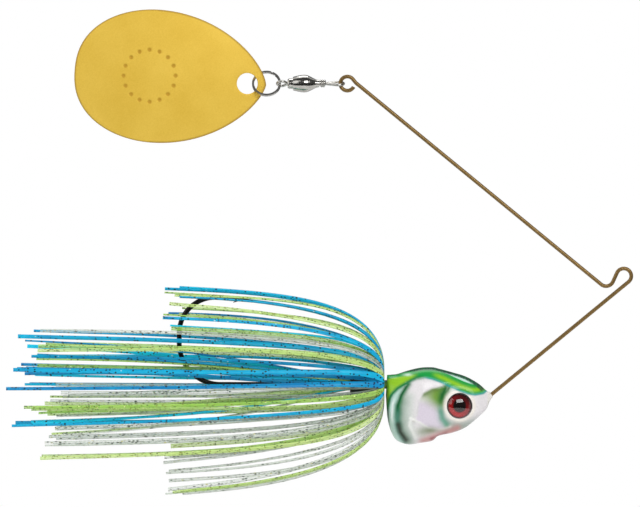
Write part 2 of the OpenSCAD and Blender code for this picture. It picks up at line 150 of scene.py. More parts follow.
def objectPlace(tree):
    return addNode(tree, "TexCoord").outputs["Object"]


def addBump(tree, shader, height, strength, distance):
    bump = addNode(tree, "Bump", {"Height": height, "Strength": strength, "Distance": distance})
    tree.links.new(bump.outputs["Normal"], shader.inputs["Normal"])


def dress(obj, made):
    obj.data.materials.clear()
    obj.data.materials.append(made)


def focus(obj):
    bpy.ops.object.select_all(action="DESELECT")
    obj.select_set(True)
    bpy.context.view_layer.objects.active = obj


def applyModifier(obj, kind, **settings):
    focus(obj)
    bpy.ops.object.modifier_add(type=kind)
    added = obj.modifiers[-1]
    for key, value in settings.items():
        setattr(added, key, value)
    bpy.ops.object.modifier_apply(modifier=added.name)


def smoothFaces(obj, degrees):
    focus(obj)
    bpy.ops.object.mode_set(mode="EDIT")
    bpy.ops.mesh.select_all(action="SELECT")
    bpy.ops.mesh.remove_doubles(threshold=weld)
    bpy.ops.mesh.normals_make_consistent(inside=False)
    bpy.ops.object.mode_set(mode="OBJECT")
    bpy.ops.object.shade_smooth_by_angle(angle=math.radians(degrees))
    bpy.ops.object.select_all(action="DESELECT")


# bent wire, hook, swivel, ring and collar keep their exact shapes
finishes = {
    "bronzeWire": {
        "metal": 0.6, "dark": (128, 102, 58), "light": (142, 113, 66), "grain": 900, "wear": (0.32, 0.4),
        "on": ["wire_frame"]},
    "blackNickel": {
        "metal": 0.8, "dark": (16, 15, 16), "light": (38, 36, 36), "grain": 700, "wear": (0.18, 0.34),
        "on": ["hook"]},
    "nickelPlate": {
        "metal": 1.0, "dark": (178, 176, 170), "light": (214, 212, 206), "grain": 1200, "wear": (0.1, 0.2),
        "on": ["arm_eye", "swivel_barrel", "swivel_cap", "blade_eye"]},
    "springSteel": {
        "metal": 1.0, "dark": (176, 174, 170), "light": (212, 210, 206), "grain": 1400, "wear": (0.26, 0.36),
        "on": ["split_ring"]},
    "ballSteel": {
        "metal": 1.0, "dark": (168, 168, 168), "light": (210, 210, 210), "grain": 1500, "wear": (0.05, 0.12),
        "on": ["bearing_balls"]},
    "collarRubber": {
        "metal": 0.0, "dark": (10, 14, 12), "light": (26, 32, 28), "grain": 1600, "wear": (0.45, 0.7),
        "on": ["skirt_collar"]}}


def grainedFinish(name, look):  # a fine uneven grain in colour, gloss and height
    made, tree, shader = startMaterial(name, {"Metallic": look["metal"]})
    grain = addNoise(tree, objectPlace(tree), look["grain"], detail=4.0, rough=0.6)
    colour = addRamp(tree, grain, tinted([(0.3, look["dark"]), (0.7, look["light"])]))
    tree.links.new(colour, shader.inputs["Base Color"])
    gloss = addRange(tree, grain, (0, look["wear"][0]), (1, look["wear"][1]))
    tree.links.new(gloss, shader.inputs["Roughness"])
    addBump(tree, shader, grain, strength=0.06, distance=0.05 * mm)
    return made


for finishName, look in finishes.items():
    look["made"] = grainedFinish(finishName, look)
    for nodeName in look["on"]:
        dress(nodes[nodeName], look["made"])
print("kept nodes dressed")

# the twisted wire behind the eye on the arm
twist = {
    "start": -78.25, "end": -79.62, "z": 50.424, "turns": 2.6, "radius": 0.74, "wire": 0.27, "steps": 60,
    "bevel": 3, "smooth": 50}
bpy.ops.curve.primitive_bezier_curve_add(location=(0, 0, 0))
neckTwist = bpy.context.object
neckTwist.name = "neckTwist"
line = neckTwist.data
line.splines.clear()
run = line.splines.new("POLY")
run.points.add(twist["steps"])
for k, point in enumerate(run.points):
    t = k / twist["steps"]
    turned = 2 * math.pi * twist["turns"] * t
    point.co = (
        (twist["start"] + (twist["end"] - twist["start"]) * t) * mm,
        twist["radius"] * mm * math.cos(turned),
        (twist["z"] + twist["radius"] * math.sin(turned)) * mm, 1)
line.dimensions = "3D"
line.bevel_depth = twist["wire"] * mm
line.bevel_resolution = twist["bevel"]
line.use_fill_caps = True
focus(neckTwist)
bpy.ops.object.convert(target="MESH")
neckTwist = bpy.context.object
smoothFaces(neckTwist, twist["smooth"])
dress(neckTwist, finishes["nickelPlate"]["made"])
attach(neckTwist, "arm_link")
print("neck twist made")

# the blade: a dished leaf with a rounded rim and a ring of punched dimples
leaf = {
    "length": 50.2, "width": 34.8, "thick": 0.5, "dish": 130, "rise": 4.5, "hole": 2.75, "tipShare": 0.577,
    "tipPower": 1.36, "endPower": 0.86, "holeAt": 24.065, "holeX": -98.650, "z": 50.424,
    "around": 192, "rows": 26, "rimRound": 0.13, "rimSteps": 3, "rimAngle": 50, "smooth": 40,
    "punch": {
        "x": -124.2, "z": 52.4, "radius": 6.8, "count": 16, "size": 0.74, "depth": 0.24, "floor": 0.25,
        "margin": 2, "cuts": 7},
    "gilt": {
        "low": (226, 185, 61), "high": (244, 207, 86), "pitShade": (202, 158, 48), "pitFloor": 0.45,
        "rim": (150, 112, 36), "rimFade": (0.955, 0.995), "rimShare": 0.75, "grain": 2600.0, "cloud": 90.0}}
punch, gilt = leaf["punch"], leaf["gilt"]


def leafHalf(ahead):  # share of the length and power of the outline, ahead of the widest place or behind it
    if ahead:
        return leaf["tipShare"], leaf["tipPower"]
    return 1 - leaf["tipShare"], leaf["endPower"]


bpy.ops.mesh.primitive_grid_add(x_subdivisions=leaf["around"], y_subdivisions=leaf["rows"], size=1)
blade = bpy.context.object
blade.name = "bladeLeaf"
backSet = math.sqrt(leaf["dish"] ** 2 - (leaf["holeAt"] + leaf["hole"]) ** 2)
tilt = math.radians(leaf["rise"])
for vertex in blade.data.vertices:  # the grid becomes rows from the hole out to the outline
    turned, out = 2 * math.pi * (vertex.co.x + 0.5), vertex.co.y + 0.5
    cosine, sine = math.cos(turned), math.sin(turned)
    share, power = leafHalf(cosine > 0)
    edgeX = cosine * leaf["length"] * share
    edgeZ = math.copysign(leaf["width"] / 2 * abs(sine) ** power, sine)
    x = (leaf["holeAt"] + leaf["hole"] * cosine) * (1 - out) + edgeX * out
    z = leaf["hole"] * sine * (1 - out) + edgeZ * out
    y = backSet - math.sqrt(leaf["dish"] ** 2 - x * x - z * z)
    x -= leaf["holeAt"]
    vertex.co = (
        (leaf["holeX"] + x * math.cos(tilt) + z * math.sin(tilt)) * mm, y * mm,
        (leaf["z"] - x * math.sin(tilt) + z * math.cos(tilt)) * mm)
smoothFaces(blade, leaf["smooth"])
focus(blade)
bpy.ops.object.mode_set(mode="EDIT")
bpy.ops.mesh.select_mode(type="FACE")
bpy.ops.mesh.select_all(action="DESELECT")
bpy.ops.object.mode_set(mode="OBJECT")
for face in blade.data.polygons:  # finer faces where the dimples go
    reach = math.hypot(face.center.x / mm - punch["x"], face.center.z / mm - punch["z"])
    face.select = abs(reach - punch["radius"]) < punch["margin"]
bpy.ops.object.mode_set(mode="EDIT")
bpy.ops.mesh.subdivide(number_cuts=punch["cuts"])
bpy.ops.object.mode_set(mode="OBJECT")
pitch = 2 * math.pi / punch["count"]
for vertex in blade.data.vertices:
    x, z = vertex.co.x / mm - punch["x"], vertex.co.z / mm - punch["z"]
    turned = round(math.atan2(z, x) / pitch) * pitch
    gap = math.hypot(x - punch["radius"] * math.cos(turned), z - punch["radius"] * math.sin(turned))
    outside = past(gap / punch["size"], punch["floor"], 1 - punch["floor"])
    vertex.co.y += punch["depth"] * mm * (1 - float(outside))
smoothFaces(blade, leaf["smooth"])
applyModifier(blade, "SOLIDIFY", thickness=leaf["thick"] * mm, offset=0.0, use_even_offset=True)
applyModifier(
    blade, "BEVEL", width=leaf["rimRound"] * mm, segments=leaf["rimSteps"], limit_method="ANGLE",
    angle_limit=math.radians(leaf["rimAngle"]))
smoothFaces(blade, leaf["smooth"])
rimShare = []  # nearly 1 at the outline
for vertex in blade.data.vertices:
    x, z = vertex.co.x / mm - leaf["holeX"], vertex.co.z / mm - leaf["z"]
    x, z = x * math.cos(tilt) - z * math.sin(tilt) + leaf["holeAt"], x * math.sin(tilt) + z * math.cos(tilt)
    share, power = leafHalf(x > 0)
    rimShare.append((x / leaf["length"] / share) ** 2 + abs(2 * z / leaf["width"]) ** (2 / power))
blade.data.attributes.new("rim", "FLOAT", "POINT").data.foreach_set("value", rimShare)

gold, tree, shader = startMaterial("satinGold", {
    "Metallic": 0.3, "Roughness": 0.55, "Specular IOR Level": 0.3})
place = objectPlace(tree)
grain = addNoise(tree, place, gilt["grain"], rough=0.7)
cloud = addNoise(tree, place, gilt["cloud"])
mottle = addMath(tree, "MULTIPLY", addMath(tree, "ADD", grain, cloud), 0.5)
colour = addRamp(tree, mottle, tinted([(0.3, gilt["low"]), (0.7, gilt["high"])]))
offset = addVector(tree, "SUBTRACT", place, (punch["x"] * mm, 0, punch["z"] * mm)).outputs["Vector"]
flat = addVector(tree, "MULTIPLY", offset, (1, 0, 1)).outputs["Vector"]
reach = addVector(tree, "LENGTH", flat).outputs["Value"]
axes = addNode(tree, "SeparateXYZ", {0: flat})
angle = addMath(tree, "ARCTAN2", axes.outputs["Z"], axes.outputs["X"])
cell = addMath(tree, "WRAP", addMath(tree, "MULTIPLY", angle, 1 / pitch), 0.5, -0.5)
around = addMath(tree, "MULTIPLY", cell, pitch * punch["radius"] * mm)
across = addMath(tree, "SUBTRACT", reach, punch["radius"] * mm)
pair = addNode(tree, "CombineXYZ", {"X": around, "Y": across}).outputs["Vector"]
away = addVector(tree, "LENGTH", pair).outputs["Value"]
pitEdge = punch["size"] * mm
# painted shade: the dimples darken towards their floors
dimple = addRange(tree, away, (gilt["pitFloor"] * pitEdge, 0), (pitEdge, 1), "SMOOTHSTEP")
shaded = addMix(tree, dimple, tint(*gilt["pitShade"]), colour)
rim = addNode(tree, "Attribute", attribute_name="rim").outputs["Fac"]
worn = addRange(tree, rim, (gilt["rimFade"][0], 0), (gilt["rimFade"][1], gilt["rimShare"]))
tree.links.new(addMix(tree, worn, shaded, tint(*gilt["rim"])), shader.inputs["Base Color"])
addBump(tree, shader, grain, strength=0.15, distance=0.02 * mm)
dress(blade, gold)
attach(blade, "spinner")
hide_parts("blade")
print("blade made")

# the cast head, with its places as (forward from the back, up from the shank) in millimetres
cast = {
    "back": -62.02, "axis": -28.391, "length": 26.8, "height": 20.2, "width": 11.6, "power": 2.4,
    "eye": (18.894, -5.494), "eyeY": 4.872, "eyeTurn": 11, "eyeRadius": 3.38, "eyeDepth": 0.9,
    "rings": 168, "around": 208, "capShare": 0.06, "backBulge": -0.35, "noseBulge": 0.9, "reliefOver": 2.2,
    "skinSmooth": 60, "smooth": 48,
    "socketTool": {"sides": 96, "length": 4},
    "keeper": {"radius": 1.14, "length": 11, "x": -66.2, "sides": 40},
    "solder": {"radius": 1.0, "x": -35.35, "z": -31.55, "flat": 0.8, "slope": -39.4},  # drop at the nose
    "carving": {  # height and width of each form
        "slit": (-0.62, 0.7), "cover": (0.36, 2.4), "plate": (0.34, 2.2), "foot": (0.26, 0.5),
        "fold": (0.22, 0.5), "hollow": (-0.4, 0.75), "socket": (0.22, 0.42), "socketAt": 3.75,
        "coverEnd": 9.5, "step": 0.5, "lead": 0.2},
    "enamel": {"ground": (232, 228, 230), "mist": 2400.0, "pearl": ((0.3, 0.95), (0.7, 1.03))}}
socketTool, keeper, solder = cast["socketTool"], cast["keeper"], cast["solder"]
carving, coating = cast["carving"], cast["enamel"]
stations = [Vector(s) for s in (  # shares: along the length, top and foot of the height, width
    (0.000, 0.123, -0.400, 0.56), (0.019, 0.124, -0.530, 0.74), (0.052, 0.128, -0.647, 0.84),
    (0.101, 0.136, -0.731, 0.91), (0.205, 0.180, -0.778, 0.98), (0.327, 0.217, -0.758, 1.00),
    (0.440, 0.222, -0.731, 0.98), (0.504, 0.205, -0.667, 0.97), (0.649, 0.153, -0.622, 0.90),
    (0.772, 0.101, -0.553, 0.79), (0.894, 0.010, -0.420, 0.60), (0.966, -0.074, -0.326, 0.36),
    (1.000, -0.095, -0.225, 0.20))]
stripeEdge = [
    (9.85, 1.91), (11.8, 1.52), (14.0, 0.73), (16.5, -0.45), (19.1, -1.62), (21.2, -2.36), (23.0, -2.62),
    (25.1, -2.28), (25.9, -1.7)]
coverEdge = [
    (9.85, 1.91), (7.7, 1.7), (6.4, 1.15), (4.9, 0.29), (2.7, -1.02), (1.4, -2.31), (0.73, -3.41), (0, -6.2)]
gillSlit = [(5.5, 0.08), (3.77, -2.75), (2.91, -5.37), (2.7, -8.62), (3.12, -11.87), (4.87, -14.7)]
slitFoot = [(2.85, -10.4), (3.4, -12.4), (4.9, -14.4)]
plateEdge = [
    (14.4, -0.45), (11.6, -0.92), (9.4, -2.1), (8.33, -3.85), (8.02, -5.8), (7.68, -7.96), (6.16, -8.83)]
plateFoot = [(6.16, -8.83), (8.57, -9.69), (10.7, -11.2), (13.3, -11.55), (15.1, -11.45), (16.4, -11.0)]
cheekFold = [(6.16, -8.83), (5.74, -10.6), (7.47, -14.1)]
eyeHollow = [(15.7, -0.58), (14.4, -2.54), (14.0, -4.48), (14.0, -6.65), (14.4, -8.83), (15.5, -10.35)]
bellyBlush = [(9.4, -14.9), (13.9, -13.2), (18.3, -11.5)]
blushCore = [(11.6, -14.2), (15.4, -12.8)]


def lineGap(h, v, line):  # distance to a line and the side of it, positive on the left of its run
    best, side = np.full(h.shape, 1e9), np.zeros(h.shape)
    for (ah, av), (bh, bv) in zip(line, line[1:]):
        dh, dv = bh - ah, bv - av
        t = np.clip(((h - ah) * dh + (v - av) * dv) / (dh * dh + dv * dv), 0, 1)
        gap = np.hypot(h - ah - t * dh, v - av - t * dv)
        nearer = gap < best
        best = np.where(nearer, gap, best)
        side = np.where(nearer, np.sign(dh * (v - av) - dv * (h - ah)), side)
    return best, side


def nearLine(h, v, line, width):
    return bell(lineGap(h, v, line)[0], 0, width)


def ridge(h, v, line, form):
    height, width = carving[form]
    return height * nearLine(h, v, line, width)


def ledge(h, v, line, form):  # steep on the line's right side, falling off slowly on its left
    height, width = carving[form]
    gap, side = lineGap(h, v, line)
    return height * past(side * gap, -carving["lead"], carving["step"]) * bell(gap, 0, width)


def relief(h, v):  # how far the casting stands out of the plain egg
    eyeGap = np.hypot(h - cast["eye"][0], v - cast["eye"][1])
    out = ridge(h, v, gillSlit, "slit") + ridge(h, v, eyeHollow, "hollow")
    out += ridge(h, v, plateFoot, "foot") + ridge(h, v, cheekFold, "fold")
    out += ledge(h, v, coverEdge, "cover") * (h < carving["coverEnd"]) + ledge(h, v, plateEdge, "plate")
    height, width = carving["socket"]
    return out + height * bell(eyeGap, carving["socketAt"], width)


def boxed(value):  # squares off a round section
    return math.copysign(abs(value) ** (2 / cast["power"]), value)


def eyePlace(side):  # the middle of an eye and the way that it looks
    turn = math.radians(cast["eyeTurn"])
    middle = Vector((cast["back"] + cast["eye"][0], side * cast["eyeY"], cast["axis"] + cast["eye"][1]))
    return middle, Vector((math.sin(turn), side * math.cos(turn), 0))


def vertexPlaces(obj):
    flat = np.empty(len(obj.data.vertices) * 3)
    obj.data.vertices.foreach_get("co", flat)
    return flat.reshape(-1, 3)


bpy.ops.mesh.primitive_grid_add(x_subdivisions=cast["rings"], y_subdivisions=cast["around"], size=1)
head = bpy.context.object
head.name = "castHead"
skin = vertexPlaces(head)
shape = np.empty(skin.shape)
ends = cast["capShare"]
for k, (gridX, gridY, _) in enumerate(skin):
    t, turned = gridX + 0.5, 2 * math.pi * (gridY + 0.5)
    inner = min(max((t - ends) / (1 - 2 * ends), 0), 1)
    along, top, foot, wide = curveAt(stations, inner * (len(stations) - 1))
    cap = max(ends - t, t - 1 + ends, 0) / ends  # rounds off each end
    shrink = math.sqrt(max(1 - cap * cap, 0))
    bulge = (1 - shrink) * cast["backBulge" if t < 0.5 else "noseBulge"]
    shape[k] = (
        along * cast["length"] + bulge,
        shrink * wide * cast["width"] / 2 * boxed(math.cos(turned)),
        ((top + foot) / 2 + shrink * (top - foot) / 2 * boxed(math.sin(turned))) * cast["height"])
h, y, v = shape.T
shape[:, 1] += np.sign(y) * past(np.abs(y), 0, cast["reliefOver"]) * relief(h, v)
shape += (cast["back"], 0, cast["axis"])
head.data.vertices.foreach_set("co", (shape * mm).ravel())
smoothFaces(head, cast["skinSmooth"])
for side in (1, -1):  # sockets of the eyes
    middle, outward = eyePlace(side)
    bpy.ops.mesh.primitive_cylinder_add(
        vertices=socketTool["sides"], radius=cast["eyeRadius"] * mm, depth=socketTool["length"] * mm,
        location=(middle + outward * (socketTool["length"] / 2 - cast["eyeDepth"])) * mm,
        rotation=outward.to_track_quat("Z", "X").to_euler())
    cutter = bpy.context.object
    applyModifier(head, "BOOLEAN", object=cutter, operation="DIFFERENCE", solver="EXACT")
    bpy.data.objects.remove(cutter)
bpy.ops.mesh.primitive_cylinder_add(
    vertices=keeper["sides"], radius=keeper["radius"] * mm, depth=keeper["length"] * mm,
    location=(keeper["x"] * mm, 0, cast["axis"] * mm), rotation=(0, math.pi / 2, 0))
keeperRod = bpy.context.object
bpy.ops.mesh.primitive_uv_sphere_add(
    segments=32, ring_count=16, radius=solder["radius"] * mm,
    location=(solder["x"] * mm, 0, solder["z"] * mm), scale=(1, 1, solder["flat"]),
    rotation=(0, math.radians(solder["slope"]), 0))
solderDrop = bpy.context.object
bpy.ops.object.select_all(action="DESELECT")
for part in (keeperRod, solderDrop, head):
    part.select_set(True)
bpy.context.view_layer.objects.active = head
bpy.ops.object.join()
smoothFaces(head, cast["smooth"])

# sprayed enamel colours, with painted shade and painted highlights among them, from the pearl ground up
skin = vertexPlaces(head) / mm
h, y, v = skin[:, 0] - cast["back"], skin[:, 1], skin[:, 2] - cast["axis"]
paintAndLight = np.tile(np.array(tint(*coating["ground"])[:3]), (len(h), 1))


def spray(colour, mask):
    mask = np.clip(mask, 0, 1)[:, None]
    paintAndLight[:] = paintAndLight * (1 - mask) + np.array(tint(*colour)[:3]) * mask


flank = np.abs(y)
eyeGap = np.hypot(h - cast["eye"][0], v - cast["eye"][1])
backGap, backSide = lineGap(h, v, coverEdge[::-1] + stripeEdge[1:])
above = backSide * backGap  # height over the lower edge of the green back
slitGap, slitSide = lineGap(h, v, gillSlit)
plateGap, plateSide = lineGap(h, v, plateEdge)
footGap, footSide = lineGap(h, v, plateFoot)
spray((158, 172, 161), before(v, -7.2, 4.2) * past(h, 12, 6))  # painted shade: the snout greyer underneath
spray((206, 214, 207), before(h, 8.4, 3.5) * before(v, -1, 2))  # cheek behind the plate
spray((138, 164, 147), bell(slitGap, 0.5, 1.6) * (slitSide > 0) * before(v, -2, 3) * 0.9)  # painted shade ahead of the slit
spray((190, 224, 213), before(slitSide * slitGap, 0.3, 0.6) * before(h, 5, 1.5) * 0.9)  # rim of the cover
coverGlint = bell(slitGap, 1.5, 0.3) * (slitSide < 0) * before(v, -3, 2) * past(v, -11, 3)
spray((238, 247, 243), coverGlint)
spray((92, 140, 122), bell(slitGap, 0.4, 0.7) * (slitSide < 0) * before(v, -3, 3) * 0.8)  # painted shade behind the slit
spray((70, 96, 106), before(h, 0.75, 0.5) * before(v, -4, 1) * past(v, -13, 3) * 0.8)  # dark back edge
spray((164, 154, 144), bell(h, 6.9, 0.6) * bell(v, -9.2, 0.5) * 0.7)  # brownish-grey spot where the fold lines meet
# painted highlights: white lines along the ridges of the fold lines and the plate's foot
foldHighlights = nearLine(h, v, cheekFold, 0.4) * 0.7 + nearLine(h, v, plateFoot, 0.4) * 0.85
spray((246, 247, 243), foldHighlights)
plateIn = past(plateSide * plateGap, -0.21, 0.7) * before(h, 15.5, 1.2) * past(h, 7, 1.2)
spray((216, 206, 221), plateIn * before(v, -3.6, 1.6) * past(footSide * footGap, -0.24, 0.6) * 0.85)  # lilac tint inside the plate, partly painted shade
olive = past(v + 0.5 * (h - 9), -5.8, 4.4) * before(v, 0.6, 1.0)
spray((122, 160, 62), plateIn * olive * (0.6 + 0.4 * past(h, 9, 4)))
spray((92, 122, 58), plateIn * bell(plateGap, 0.3, 0.8) * past(v, -3.6, 1.2) * 0.8)  # edge of the plate
spray((182, 190, 176), bell(h, 9.3, 1.9) * bell(v, -12.5, 1.5) * 0.8)  # grey under the plate
spray((136, 146, 118), bell(h, 11.2, 2.6) * bell(v, -12.0, 1.0) * 0.95)  # shade over the belly
spray((74, 138, 58), nearLine(h, v, eyeHollow, 1.35) * past(v, -6.6, 3))  # green behind the eye
spray((84, 158, 130), nearLine(h, v, eyeHollow, 1.05) * before(v, -4.2, 3) * 0.9)  # and its teal foot
spray((26, 104, 44), nearLine(h, v, eyeHollow, 0.6) * past(v, -6, 3))  # dark core of the green: painted shade in the hollow
spray((18, 120, 60), nearLine(h, v, gillSlit, 0.74) * past(v, -9.6, 3))  # green slit
spray((6, 84, 46), nearLine(h + 0.2, v, gillSlit, 0.26) * past(v, -9, 3) * 0.8)  # and its dark core
spray((62, 128, 104), nearLine(h, v, gillSlit, 0.74) * before(v, -5.5, 2.5) * past(v, -12.4, 2))  # teal
spray((44, 60, 44), nearLine(h, v, slitFoot, 0.78))  # dark foot of the slit
spray((202, 138, 136), nearLine(h, v, bellyBlush, 1.1) * 0.9)  # pink belly
spray((148, 64, 68), nearLine(h, v, blushCore, 0.45) * 0.75)  # redder core
spray((246, 240, 230), bell(eyeGap, 3.8, 0.5) * 0.95)  # pale rim of the socket
spray((150, 204, 40), past(above, -0.1, 0.3))  # yellow-green of the neck and the stripe's core
spray((22, 160, 68), past(above, 0.1, 0.3) * past(h, 6, 2.5))  # green back
spray((22, 160, 68), past(v - 0.18 * h, 1.2, 0.5) * before(h, 9, 2))  # top of the neck
spray((146, 204, 30), bell(above, 1.2, 0.6) * past(h, 11, 3) * 0.95)  # lime stripe
spray((196, 234, 218), past(above, 2.5, 0.3) * past(h, 10, 3) * past(flank, 2.3, 0.4))  # painted highlight: a pale band along the shoulder
spray((224, 244, 232), bell(h, 5.3, 1.1) * bell(v, 2.6, 0.35) * 0.8)  # glint on the neck
dashes = 0.86 + 0.14 * np.sin(11 * h + 3 * np.sin(2.3 * h))
topLine = before(flank, 1.3 + 1.7 * past(h, 3, 5), 0.5) * past(v, -4, 1.5) * past(above, 0.4, 0.5)
spray((2, 62, 46), topLine * past(h, 0.1, 0.6) * dashes)  # dark line along the top
spray((0, 124, 66), bell(above, 0.05, 0.5) * before(h, 11, 3))  # green edge of the cover
spray((10, 160, 150), bell(above, 0.0, 0.3) * past(h, 8, 3))  # teal edge of the stripe
spray((236, 232, 224), past(h, 26.0, 0.5))  # nose
spray((24, 16, 14), before(eyeGap, 3.36, 0.08))  # dark sockets
rgba = np.concatenate([paintAndLight, np.ones((len(paintAndLight), 1))], axis=1).astype(np.float32)
head.data.attributes.new("paintAndLight", "FLOAT_COLOR", "POINT").data.foreach_set("color", rgba.ravel())
enamel, tree, shader = startMaterial("pearlEnamel", {
    "Roughness": 0.3, "Coat Weight": 0.3, "Coat Roughness": 0.05, "Specular IOR Level": 0.3})
coatAndLight = addNode(tree, "Attribute", attribute_name="paintAndLight").outputs["Color"]
mist = addNoise(tree, objectPlace(tree), coating["mist"], detail=2.0, rough=0.6)
pearl = addRange(tree, mist, *coating["pearl"])
pearledCoatAndLight = addNode(tree, "VectorMath", {0: coatAndLight, "Scale": pearl}, operation="SCALE").outputs["Vector"]
tree.links.new(pearledCoatAndLight, shader.inputs["Base Color"])
addBump(tree, shader, mist, strength=0.08, distance=0.04 * mm)
dress(head, enamel)
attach(head, "frame")
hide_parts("head")
print("head made:", len(head.data.polygons), "faces")

# printed eyes under clear domes
eyes = {
    "disc": {
        "radius": 3.35, "stretch": 1.02, "streaks": 9.0, "jitter": 0.1, "slant": (0.5, 0, 0.87), "fade": 3.3,
        "rings": [(0.50, 0.01), (0.55, 0.2), (0.64, 1), (0.85, 1), (0.96, 0.3), (1.0, 0.08)],
        "reds": [(0.05, (190, 12, 20)), (0.5, (140, 4, 12)), (0.9, (66, 6, 8))]},
    "lens": {
        "rise": 1.0, "curve": 4.967, "cut": 0.32, "sides": 96, "smooth": 40, "index": 1.8, "gloss": 0.03}}
disc, lens = eyes["disc"], eyes["lens"]
iris, tree, shader = startMaterial("printedIris", {"Roughness": 0.35, "Specular IOR Level": 0.1})
eyeMiddle = ((cast["back"] + cast["eye"][0]) * mm, 0, (cast["axis"] + cast["eye"][1]) * mm)
offset = addVector(tree, "SUBTRACT", objectPlace(tree), eyeMiddle).outputs["Vector"]
flat = addVector(tree, "MULTIPLY", offset, (disc["stretch"], 0, 1)).outputs["Vector"]
reach = addVector(tree, "LENGTH", flat).outputs["Value"]
share = addMath(tree, "MULTIPLY", reach, 1 / (disc["radius"] * mm))
rays = addVector(tree, "NORMALIZE", flat).outputs["Vector"]
streak = addNoise(tree, rays, disc["streaks"])
frayed = addMath(tree, "MULTIPLY_ADD", streak, disc["jitter"], share)
greys = [(at, (level, level, level, 1)) for at, level in disc["rings"]]  # pupil, iris and dark edge
rings = addRamp(tree, frayed, greys)
slant = addVector(tree, "DOT_PRODUCT", flat, disc["slant"]).outputs["Value"]
height = addRange(tree, slant, (-disc["fade"] * mm, 0), (disc["fade"] * mm, 1))
reds = addRamp(tree, height, tinted(disc["reds"]))
tree.links.new(addMix(tree, 1.0, reds, rings, "MULTIPLY"), shader.inputs["Base Color"])
for name in ("left_eye_disc", "right_eye_disc"):
    dress(nodes[name], iris)
dome, tree, _ = startMaterial("clearDome", {})
clear = addNode(tree, "BsdfTransparent", {"Color": (1, 1, 1, 1)})
shine = addNode(tree, "BsdfGlossy", {"Color": (1, 1, 1, 1), "Roughness": lens["gloss"]})
edge = addNode(tree, "Fresnel", {"IOR": lens["index"]}).outputs["Fac"]
front = addMath(tree, "SUBTRACT", 1.0, addNode(tree, "NewGeometry").outputs["Backfacing"])
both = addNode(tree, "MixShader", {
    "Fac": addMath(tree, "MULTIPLY", edge, front), 1: clear.outputs["BSDF"], 2: shine.outputs["BSDF"]})
tree.links.new(both.outputs["Shader"], tree.nodes["Material Output"].inputs["Surface"])
for sideName, side in (("left", 1), ("right", -1)):
    middle, outward = eyePlace(side)
    bpy.ops.mesh.primitive_uv_sphere_add(
        segments=lens["sides"], ring_count=lens["sides"], radius=lens["curve"] * mm,
        location=(middle + outward * (lens["rise"] - lens["curve"])) * mm,
        rotation=outward.to_track_quat("Z", "X").to_euler())
    eyeDome = bpy.context.object
    eyeDome.name = sideName + "EyeDome"
    bpy.ops.object.transform_apply(location=True, rotation=True, scale=True)
    bpy.ops.object.mode_set(mode="EDIT")
    bpy.ops.mesh.select_all(action="SELECT")
    bpy.ops.mesh.bisect(
        plane_co=(middle - outward * lens["cut"]) * mm, plane_no=outward, use_fill=True, clear_inner=True,
        threshold=0.0001 * mm)
    bpy.ops.object.mode_set(mode="OBJECT")
    smoothFaces(eyeDome, lens["smooth"])
    dress(eyeDome, dome)
    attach(eyeDome, "frame")
    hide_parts(sideName + "_eye_lens")
print("eyes made")

# the skirt: each strand of the frame gets a rounded section, and sways, twists and narrows towards its tip
skirt = {
    "seed": 11, "finer": 3, "smooth": 62, "cloud": 260.0, "clearTo": 0.3, "fullFrom": 0.95,
    "section": [
        (1, 0.4), (0.82, 1), (0, 1), (-0.82, 1), (-1, 0.4), (-1, -0.4), (-0.82, -1), (0, -1), (0.82, -1),
        (1, -0.4)],
    "loose": {"from": 0.3, "sway": (0.25, 1.2), "waves": 6.5, "lift": 0.6, "roll": 1.0, "taper": 0.42},
    "colours": {  # tints, cover in the middle and at the edge, flakes, and widths against the frame's strands
        "blue": {
            "deep": (0, 136, 200), "bright": (0, 222, 255), "middle": 0.9, "edge": 0.99,
            "flakes": [(0, (10, 14, 22)), (0.74, (10, 50, 110)), (0.97, (170, 220, 240))],
            "fine": 1600.0, "share": 0.44, "size": 0.34, "stretch": 0.8, "wide": (0.96, 1.66)},
        "chartreuse": {
            "deep": (176, 230, 98), "bright": (232, 254, 166), "middle": 0.48, "edge": 0.78,
            "flakes": [(0, (70, 98, 38)), (0.55, (128, 130, 40)), (0.95, (238, 242, 176))],
            "fine": 2200.0, "share": 0.6, "size": 0.36, "stretch": 0.7, "wide": (1.15, 1.95)},
        "clear": {
            "deep": (188, 200, 186), "bright": (220, 230, 216), "middle": 0.2, "edge": 0.6,
            "flakes": [(0, (96, 102, 95)), (0.6, (150, 156, 142)), (0.85, (196, 192, 136))],
            "fine": 1900.0, "share": 0.5, "size": 0.34, "stretch": 0.5, "wide": (1.15, 2.0)}}}
section, loose = skirt["section"], skirt["loose"]


def joinedVerts(scan):  # the points of each strand by itself
    seen = set()
    for first in scan.verts:
        if first.index in seen:
            continue
        group, queue = [], [first]
        seen.add(first.index)
        while queue:
            vertex = queue.pop()
            group.append(vertex)
            for edge in vertex.link_edges:
                other = edge.other_vert(vertex)
                if other.index not in seen:
                    seen.add(other.index)
                    queue.append(other)
        yield group


def ringsFromTip(scan, group):  # the strand's rings of four points, one after the other
    tip = min(group, key=lambda vertex: vertex.co.x)
    ring = sorted(group, key=lambda vertex: (vertex.co - tip.co).length)[:4]
    rings, used = [], set()
    while ring:
        rings.append(ring)
        used.update(vertex.index for vertex in ring)
        ahead = {edge.other_vert(vertex).index for vertex in ring for edge in vertex.link_edges}
        ring = [scan.verts[k] for k in sorted(ahead - used)]
    return rings


